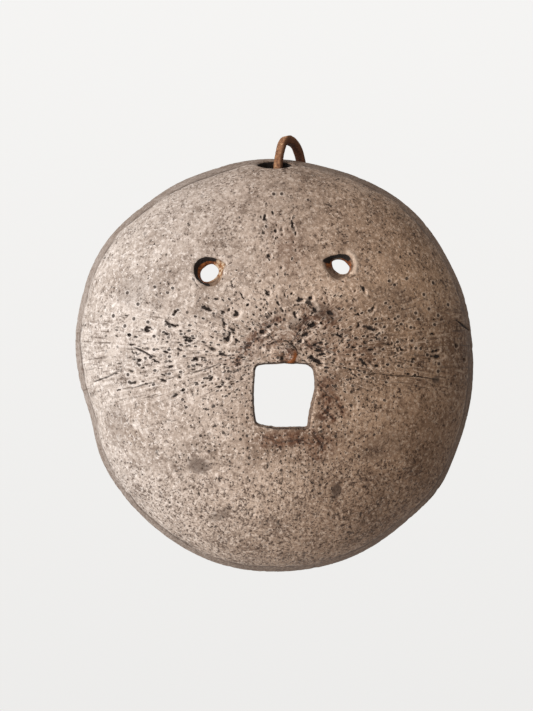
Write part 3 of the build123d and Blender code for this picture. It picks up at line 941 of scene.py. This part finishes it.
def strap(name, line, ways, width, thickness, closed=False, seed=0, fold=None):
    """Swept strap with slightly uneven edges, and its edge and underside marked; the underside is painted
    darker, partly as the flesh side and partly as painted shade.
    """
    line = np.asarray(line, float)
    if closed:
        along = np.roll(line, -1, 0) - np.roll(line, 1, 0)
    else:
        along = np.gradient(line, axis=0)
    along /= np.linalg.norm(along, axis=1)[:, None]
    across = ways - np.einsum("ij,ij->i", ways, along)[:, None] * along
    across /= np.linalg.norm(across, axis=1)[:, None]
    out = np.cross(along, across)
    section = strap_section(width, thickness, min(0.45, thickness * 0.3))
    run = np.append(0.0, np.cumsum(np.linalg.norm(np.diff(line, axis=0), axis=1)))
    rings, edges, unders = [], [], []
    for i, place in enumerate(line):
        wide = 1 + 0.05 * noise2(np.array(run[i] / 3.1), np.array(0.5), seed + 1)
        thick = 1 + 0.07 * noise2(np.array(run[i] / 2.3), np.array(2.5), seed + 2)
        skew = 0.10 * noise2(np.array(run[i] / 4.0), np.array(4.5), seed + 3)
        a, b = section[:, 0] * wide, section[:, 1] * thick
        if fold is not None:
            b = b + fold[i] * smooth(0.0, 0.5, section[:, 1])
        grain = 0.09 * noise2(np.full(len(a), run[i] / 0.7), np.arange(len(a)) * 0.45, seed + 4)
        rings.append(place + np.outer(a, across[i]) + np.outer(b + skew + grain, out[i]))
        edges.append(smooth(width / 2 - 0.75, width / 2 - 0.25, np.abs(section[:, 0])))
        unders.append(smooth(-0.1, 0.1, section[:, 1]))
    m, k = len(rings), len(section)
    points = np.concatenate(rings)
    faces = []
    for i in range(m if closed else m - 1):
        j = (i + 1) % m
        for s in range(k):
            t = (s + 1) % k
            faces.append((i * k + s, i * k + t, j * k + t, j * k + s))
    edge, under = np.concatenate(edges), np.concatenate(unders)
    if not closed:
        for end, ring in ((0, 0), (1, m - 1)):
            middle = len(points)
            points = np.vstack([points, line[ring] + along[ring] * (-0.15 if end == 0 else 0.15)])
            edge, under = np.append(edge, 1.0), np.append(under, 0.5)
            for s in range(k):
                t = (s + 1) % k
                pair = (ring * k + t, ring * k + s) if end == 0 else (ring * k + s, ring * k + t)
                faces.append((*pair, middle, middle))
    mesh = bpy.data.meshes.new(name)
    mesh.from_pydata(put_in_frame(points).tolist(), [], [tuple(dict.fromkeys(f)) for f in faces])
    mesh.validate()
    mesh.shade_smooth()
    made = bpy.data.objects.new(name, mesh)
    bpy.context.scene.collection.objects.link(made)
    attribute(made, "edge", edge)
    attribute(made, "flesh_side_and_shade", under)
    return made


def make_thong():
    """The strap, its middle line in mm and its length."""
    line = nurbs_points("thong_line", THONG_ROUTE)
    run = np.append(0.0, np.cumsum(np.linalg.norm(np.diff(line, axis=0), axis=1)))
    ways = np.asarray(WIDTH_WAYS, float)
    share = np.linspace(0.0, 1.0, len(ways))
    place = np.linspace(0.0, 1.0, len(line))
    spread = np.stack([np.interp(place, share, ways[:, i]) for i in range(3)], 1)
    # the strap is thicker where it folds over at the top
    fold = 1.3 * np.exp(-((line[:, 2] - line[:, 2].max()) / 1.6) ** 2)
    thong = strap("thong_strap", line, spread, STRAP_WIDTH, STRAP_THICKNESS, seed=200, fold=fold)
    return thong, line, run[-1]


def make_knot():
    """One strap wound round itself, along a trefoil."""
    turn = np.linspace(0.0, 2 * math.pi, 150, endpoint=False)
    line = np.stack([1.25 * (np.sin(turn) + 2 * np.sin(2 * turn)),
                     -1.75 * np.sin(3 * turn),
                     1.02 * (np.cos(turn) - 2 * np.cos(2 * turn))], 1)
    outward = line.copy()
    line += KNOT_MIDDLE
    along = np.roll(line, -1, 0) - np.roll(line, 1, 0)
    ways = np.cross(along, outward * (1.0, 0.3, 1.0))
    return strap("thong_knot_wraps", line, ways, 3.3, 2.3, closed=True, seed=300)


# ---------------------------------------- put it together
shell = make_shell()
shell.data.materials.append(gourd_material())
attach(shell, "mask")
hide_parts("gourd_shell")

leather = leather_material()
thong, thong_line, thong_length = make_thong()
knot = make_knot()
for piece, node in ((thong, "hanging_thong"), (knot, "thong_knot")):
    piece.data.materials.append(leather)
    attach(piece, "hanger")
    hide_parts(node)


# ---------------------------------------- floor, world and lights
bpy.ops.mesh.primitive_circle_add(vertices=96, radius=0.7, fill_type="NGON", location=(0, 0, -0.34))
floor = bpy.context.object
floor.name = "floor"
floor.data.materials.append(floor_material())

# A pale studio all round that gives more light from the left than from the right
world = bpy.context.scene.world or bpy.data.worlds.new("world")
bpy.context.scene.world = world
world.use_nodes = True
tree = world.node_tree
tree.nodes.clear()
out = tree.nodes.new("ShaderNodeOutputWorld")
seen, given = tree.nodes.new("ShaderNodeBackground"), tree.nodes.new("ShaderNodeBackground")
direction = tree.nodes.new("ShaderNodeTexCoord").outputs["Generated"]
parts = tree.nodes.new("ShaderNodeSeparateXYZ")
tree.links.new(direction, parts.inputs[0])
slant = tree.nodes.new("ShaderNodeVectorMath")
slant.operation = "DOT_PRODUCT"
slant.inputs[1].default_value = (0.8, 0.0, -0.6)
tree.links.new(direction, slant.inputs[0])
for shade, value, colour, numbers in (
        (given, slant.outputs["Value"], (1.0, 0.985, 0.965, 1.0), (-0.9, 0.9, 0.72, 0.24)),
        (seen, parts.outputs[2], (1.0, 0.992, 0.978, 1.0), (-0.35, 0.35, 0.84, 0.92))):
    fall = tree.nodes.new("ShaderNodeMapRange")
    tree.links.new(value, fall.inputs[0])
    for i, number in enumerate(numbers):
        fall.inputs[i + 1].default_value = number
    shade.inputs[0].default_value = colour
    tree.links.new(fall.outputs[0], shade.inputs[1])
either, way = tree.nodes.new("ShaderNodeMixShader"), tree.nodes.new("ShaderNodeLightPath")
tree.links.new(way.outputs["Is Camera Ray"], either.inputs[0])
tree.links.new(given.outputs[0], either.inputs[1])
tree.links.new(seen.outputs[0], either.inputs[2])
tree.links.new(either.outputs[0], out.inputs[0])


lamp = bpy.data.lights.new("window_light", "AREA")
lamp.shape, lamp.size, lamp.energy = "DISK", 0.75, 19.0
window = bpy.data.objects.new("window_light", lamp)
bpy.context.scene.collection.objects.link(window)
window.location = (-1.08, -0.93, 0.35)
towards = Vector((0.0, 0.0, 0.08)) - window.location
window.rotation_euler = towards.to_track_quat("-Z", "Y").to_euler()

bpy.context.scene.view_settings.view_transform = "Standard"
